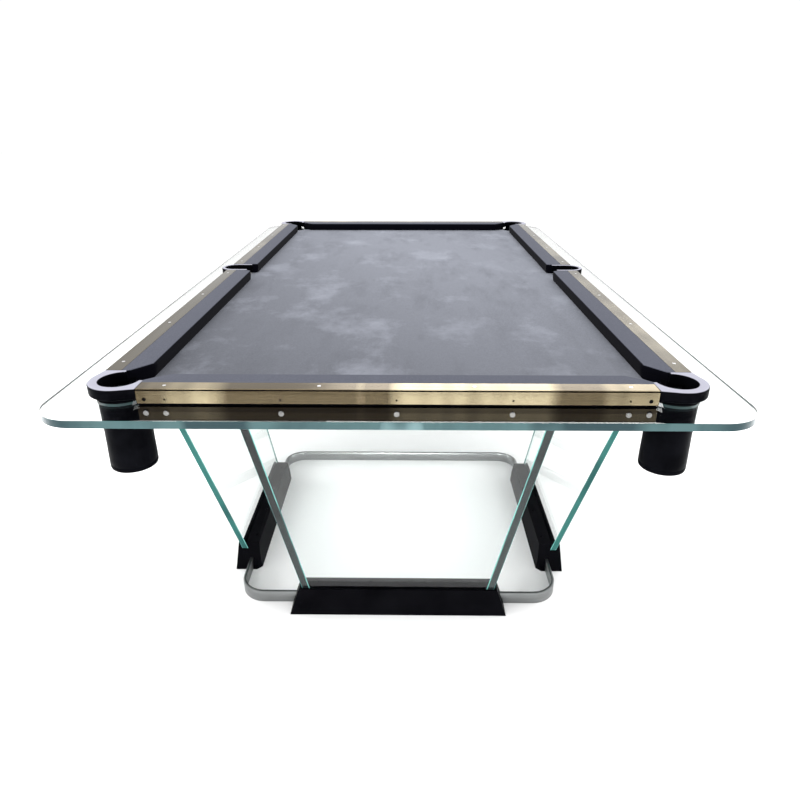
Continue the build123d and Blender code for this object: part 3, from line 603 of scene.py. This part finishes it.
def cushion_section():
    """Closed section of a cushion: u and height of each point, over the top, down the rail and back underneath.

    The front leans out from its foot to the nose, curls back over the shoulder as a quarter of an
    ellipse, and the top rises to the rail in a shallow sine crown.
    """
    width = CUSHION_WIDTH
    to_jaw, to_rail = np.linspace(SHOULDER, CORNER_JAW_DEPTH, 9), np.linspace(SIDE_JAW_DEPTH, width, 3)
    top_u = np.concatenate([to_jaw, to_rail])
    share = (top_u - SHOULDER) / (width - SHOULDER)
    top = SHOULDER_TOP + (CUSHION_TOP - SHOULDER_TOP) * share + CROWN * np.sin(np.pi * share)
    under_u = np.array([width, width * 0.8, CUSHION_FOOT_END + 0.0005, CUSHION_FOOT_END, 0.020, UNDERCUT])
    under = np.array([SUBRAIL_TOP] * 3 + [CUSHION_BOTTOM] * 3)
    front_u = np.array([UNDERCUT * 0.6, UNDERCUT * 0.2, 0.0])
    front = np.array([BED + 0.010, BED + 0.020, BED + NOSE_LOW])
    curl = np.radians(np.linspace(0, 80, 6))
    curl_u = SHOULDER * (1 - np.cos(curl))
    curl_top = BED + NOSE_HIGH + (SHOULDER_TOP - BED - NOSE_HIGH) * np.sin(curl)
    u = np.concatenate([top_u, under_u, front_u, curl_u])
    return u, np.concatenate([top, under, front, curl_top])


def jaw_reach(u, depth, nose_end, rail_end):
    """How far along the rail a cushion runs at each u: straight from the nose's end to the rail's end."""
    return nose_end + (rail_end - nose_end) * np.clip(u / depth, 0, 1)


def cushion(name, side, mirrored):
    """Cushion of one rail: its section carried along t, with both ends cut on the jaw's slant."""
    u, height = cushion_section()
    if side in ("head", "foot"):
        high_end = jaw_reach(u, CORNER_JAW_DEPTH, NOSE_X - CORNER_NOSE_SETBACK, CORNER_RAIL_END)
        low_end = -high_end
    else:
        high_end = jaw_reach(u, CORNER_JAW_DEPTH, NOSE_Y - CORNER_NOSE_SETBACK, SIDE_RAIL_FAR)
        low_end = jaw_reach(u, SIDE_JAW_DEPTH, SIDE_NOSE_HALF, SIDE_RAIL_NEAR)
    share = np.linspace(0, 1, 61)[:, None]
    t = low_end + (high_end - low_end) * share
    t = -t if mirrored else t
    x, y = side_turn(side)(t, np.broadcast_to(u, t.shape))
    points = np.stack([x, y, np.broadcast_to(height, t.shape)], -1)
    piece = finish_piece(surface("cushion_wrap_" + name, points), "cushion_wrap_" + name, FINISH["cushion"],
                         ["cushion_" + name], 50)
    bevel(piece, CUSHION_ARRIS, 55)


def cushions():
    """Six cushions; those of one long side are each other's mirror image."""
    rails = [("head", "head", False), ("foot", "foot", False), ("left_head", "left", True),
             ("left_foot", "left", False), ("right_head", "right", False), ("right_foot", "right", True)]
    for name, side, mirrored in rails:
        cushion(name, side, mirrored)


# ---------------------------------------------------------------- pockets
def loop_paths(kind):
    """Inner and outer outlines of a leather loop, in step, for the foot-right or the right-hand place."""
    steps = 96
    throat = LOOP_THROAT[kind]
    if kind == "side":
        low, high = span("pocket_loop_side_right")
        middle = np.array(pocket_facts("side_right")[:2])
        straight = middle[0] - low[0]
        return walk(middle, throat, straight, steps), walk(middle, high[1], straight, steps)
    middle = np.array(pocket_facts("foot_right")[:2])
    radius = LOOP_HIGH[0] - middle[0]
    rail_corner = np.array([LOOP_LOW[0], RAIL_Y])
    jaw_corner = np.array([LOOP_LOW[0], NOSE_Y + CORNER_JAW_DEPTH])
    return bend(jaw_corner, middle, throat, 0.0, steps), bend(rail_corner, middle, radius, 1.0, steps)


def bend(start, middle, radius, lean, steps):
    """From a point straight to a circle, round it, and straight on to the mirrored point.

    With a lean of 1 the straight just touches the circle, with 0 it runs towards the circle's middle.
    The second half is the first half mirrored in the diagonal through that middle.
    """
    offset = start - middle
    swing = lean * math.acos(min(1.0, radius / np.hypot(*offset)))
    touch = math.atan2(offset[1], offset[0]) - swing
    point = middle + radius * np.array([math.cos(touch), math.sin(touch)])
    straight = np.hypot(*(point - start))
    half = straight + radius * (touch - math.pi / 4)
    s = np.linspace(0, half, steps // 2 + 1)[:, None]
    share = np.clip(s / max(straight, 1e-9), 0, 1)
    angle = touch - np.clip(s - straight, 0, None) / radius
    round_part = middle + radius * np.concatenate([np.cos(angle), np.sin(angle)], 1)
    first = np.where(s < straight, start + (point - start) * share, round_part)
    second = (first - middle)[::-1, ::-1] + middle
    return np.concatenate([first, second[1:]])


def walk(middle, radius, straight, steps):
    """Even steps along a straight run, half a circle about the middle and a second straight run."""
    length = 2 * straight + math.pi * radius
    s = np.linspace(0, length, steps)
    angle = math.pi / 2 - np.clip(s - straight, 0, math.pi * radius) / radius
    before, after = np.clip(straight - s, 0, None), np.clip(s - straight - math.pi * radius, 0, None)
    x = middle[0] + radius * np.cos(angle) - before - after
    return np.stack([x, middle[1] + radius * np.sin(angle)], 1)


def loop_piece(name, signs):
    """Leather loop: a band filled straight across between its two outlines, its four edges quarter circles.

    A point of the section is a distance in from one outline or, midway, a share of the way across.
    """
    kind = "side" if signs[1] == 0 else "corner"
    inner, outer = loop_paths(kind)
    low, high = LOOP_LOW[2], LOOP_HIGH[2]
    width = np.linalg.norm(outer - inner, axis=1)[:, None]
    corner = np.radians(np.linspace(0, 90, 5))
    rise, inset = LOOP_ROUND * np.sin(corner), LOOP_ROUND * (1 - np.cos(corner))
    # up the inner face, over the top, down the outer face and back underneath
    distance = np.concatenate([inset, [0.5], inset[::-1], inset, [0.5], inset[::-1]])
    height = np.concatenate([high - LOOP_ROUND + rise, [high], high - LOOP_ROUND + rise[::-1],
                             low + LOOP_ROUND - rise, [low], low + LOOP_ROUND - rise[::-1]])
    from_inner, midway, from_outer = 0, 1, 2
    edge = np.repeat([from_inner, midway, from_outer, midway, from_inner], [5, 1, 10, 1, 5])
    share = np.choose(edge, [distance / width, np.broadcast_to(distance, (len(width), len(distance))),
                             1 - distance / width])
    x = (inner[:, :1] + (outer[:, :1] - inner[:, :1]) * share) * signs[0]
    y = (inner[:, 1:] + (outer[:, 1:] - inner[:, 1:]) * share) * (signs[1] or 1)
    points = np.stack([x, y, np.broadcast_to(height, x.shape)], -1)
    finish_piece(surface("leather_loop_" + name, points), "leather_loop_" + name, FINISH["leather"],
                 ["pocket_loop_" + name], 60)


def cup_piece(name, signs):
    """Leather cup: a tube with a turned hem at its foot, cut low towards the field and high behind.

    The rim's height follows the smooth step, three squares less two cubes, of how far a point faces away.
    """
    x, y, radius = pocket_facts(name)
    low, high = (corner[2] for corner in span("pocket_cup_" + name))
    columns = 96
    angle = np.linspace(0, 2 * np.pi, columns + 1)[:-1][:, None]
    away = math.atan2(signs[1], signs[0])
    back = np.clip((np.cos(angle - away) + 0.02) / 0.05, 0, 1)
    top = CUP_RIM + (high - CUP_RIM) * back * back * (3 - 2 * back)
    outside = low + np.array([0, 0.004, 0.010, 0.011, 0.0125, 0.03, 0.06, 0.10, 0.14, 0.165, 0.18])
    bulge = np.array([-0.0012, 0, 0, -0.0009, 0, 0.0, -0.0006, -0.0010, -0.0006, 0.0, 0.0])
    inside = np.array([low + 0.09, low + 0.004, low])
    z = np.concatenate([np.broadcast_to(outside, (columns, len(outside))), top - 0.001, top, top, top - 0.002,
                        np.broadcast_to(inside, (columns, len(inside)))], 1)
    bore = radius - CUP_WALL
    r = np.concatenate([radius + bulge, [radius, radius - 0.0010, bore + 0.0008, bore], [bore] * len(inside)])
    points = np.stack([x + r * np.cos(angle), y + r * np.sin(angle), z], -1)
    finish_piece(surface("leather_cup_" + name, points, wrap_rows=True), "leather_cup_" + name,
                 FINISH["leather"], ["pocket_cup_" + name], 50)


# ---------------------------------------------------------------- floor rings
def floor_ring(end):
    """Flat bar on edge: each corner of its section, at its inset, is carried round a rounded rectangle."""
    low, high = span("floor_ring_" + end)
    half_x, half_y = high[0], (high[1] - low[1]) / 2
    middle = (0.0, (low[1] + high[1]) / 2)
    inner = RING_BAR - RING_ARRIS
    inset = np.array([0, 0, RING_ARRIS, inner, RING_BAR, RING_BAR, inner, RING_ARRIS])
    height = np.array([low[2] + RING_ARRIS, high[2] - RING_ARRIS, high[2], high[2],
                       high[2] - RING_ARRIS, low[2] + RING_ARRIS, low[2], low[2]])
    outlines = [rounded_rectangle(half_x - i, half_y - i, RING_CORNER - i, 24, middle) for i in inset]
    points = np.stack([np.c_[o, np.full(len(o), h)] for o, h in zip(outlines, height)], 1)
    finish_piece(surface("ring_bar_" + end, points, wrap_rows=True), "ring_bar_" + end, FINISH["ring"],
                 ["floor_ring_" + end], 50)


# ---------------------------------------------------------------- CAD nodes that stay
KEPT = {"rail_core": "rail", "under_frame": "frame", "frame_bolts": "bolt", "rail_bolts": "bolt",
        "rail_screws": "screw", "shoe_screws": "frame", "panel_pads": "pad", "cup_bases": "leather",
        "levelling_foot": "foot"}


def dress(node, finish):
    """Gives a CAD node its material and leaves its shape alone."""
    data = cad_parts[node].data
    data.materials.clear()
    data.materials.append(finish)


def kept_nodes():
    """Dresses each kept node by the start of its name, and the rail trim by the way it runs."""
    for node in sorted(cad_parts):
        for start, finish in KEPT.items():
            if node.startswith(start):
                dress(node, FINISH[finish])
        if node.startswith("rail_trim"):
            across = node.split("_")[2] in ("head", "foot")
            dress(node, FINISH["gold_x" if across else "gold_y"])


# ---------------------------------------------------------------- build
glass_top()
bed_cloth()
cushions()
for pocket, place in POCKETS.items():
    loop_piece(pocket, place)
    cup_piece(pocket, place)
for ring_end in ("head", "foot"):
    floor_ring(ring_end)
    for stand in ("end", "left", "right"):
        where = ring_end + "_" + stand
        softened("shoe_" + where, "shoe_block_" + where, FINISH["shoe"], SHOE_ARRIS)
        glass_leg(where, "edge_deep" if stand == "end" else "edge_leg")
kept_nodes()


# ---------------------------------------------------------------- floor, light and camera
def floor():
    """Plain pale floor, a single wide square."""
    f = Finish("studio_floor", Roughness=0.6, Specular_IOR_Level=0.3)
    cloud = f.spread(f.noise(0.8, 3.0), 0.0, 1.0, 0.3, 0.7)
    f.drive(Base_Color=f.blend(cloud, (0.955, 0.955, 0.955), (0.975, 0.975, 0.975)))
    mesh = bpy.data.meshes.new("studio_floor")
    reach = 30.0
    corners = [(-reach, -reach, 0), (reach, -reach, 0), (reach, reach, 0), (-reach, reach, 0)]
    mesh.from_pydata(corners, [], [(0, 1, 2, 3)])
    mesh.materials.append(f.material)
    ground = placed("studio_floor", mesh)


def softbox(name, place, aim, size, power, mirrored=True):
    """A rectangular lamp at a place, turned to face a point, seen in polished surfaces only if mirrored."""
    lamp = bpy.data.lights.new(name, "AREA")
    lamp.shape = "RECTANGLE"
    lamp.size, lamp.size_y = size
    lamp.energy = power
    holder = placed(name, lamp)
    holder.location = place
    holder.rotation_euler = (Vector(aim) - Vector(place)).to_track_quat("-Z", "Y").to_euler()
    holder.visible_camera = False
    holder.visible_glossy = mirrored


def studio():
    """White surroundings, a lamp over the table, one beyond it, three low ones for the shade and a side one."""
    world = bpy.data.worlds.new("studio")
    world.use_nodes = True
    world.node_tree.nodes["Background"].inputs[0].default_value = (1, 1, 1, 1)
    world.node_tree.nodes["Background"].inputs[1].default_value = 1.05
    bpy.context.scene.world = world
    softbox("overhead", (0.0, 0.3, 3.6), (0, 0.3, 0), (3.0, 3.6), 22.0)
    softbox("far_wall", (1.3, 6.0, 4.1), (0.6, -0.8, 0.8), (5.0, 1.2), 60.0)
    softbox("low_left", (-3.4, -0.4, 0.9), (0, -0.4, 0.0), (3.0, 0.8), 125.0, False)
    softbox("low_right", (3.4, -0.4, 0.9), (0, -0.4, 0.0), (3.0, 0.8), 125.0, False)
    softbox("low_front", (0.0, -4.8, 0.9), (0, -0.4, 0.0), (3.0, 0.8), 125.0, False)
    softbox("near_left", (-3.5, -3.6, 2.6), (0, -0.6, 0.6), (1.6, 2.2), 25.0)


def camera():
    """Standing at the head end, a little right of the middle, looking down the table."""
    lens = bpy.data.cameras.new("camera")
    lens.lens = 28.94
    lens.sensor_width = 36.0
    lens.clip_end = 200.0
    holder = placed("camera", lens)
    holder.location = (0.023, -2.765, 1.390)
    holder.rotation_euler = (math.radians(90 - 23.5), 0, math.radians(0.62))
    bpy.context.scene.camera = holder


floor()
studio()
camera()
bpy.context.scene.view_settings.view_transform = "Standard"
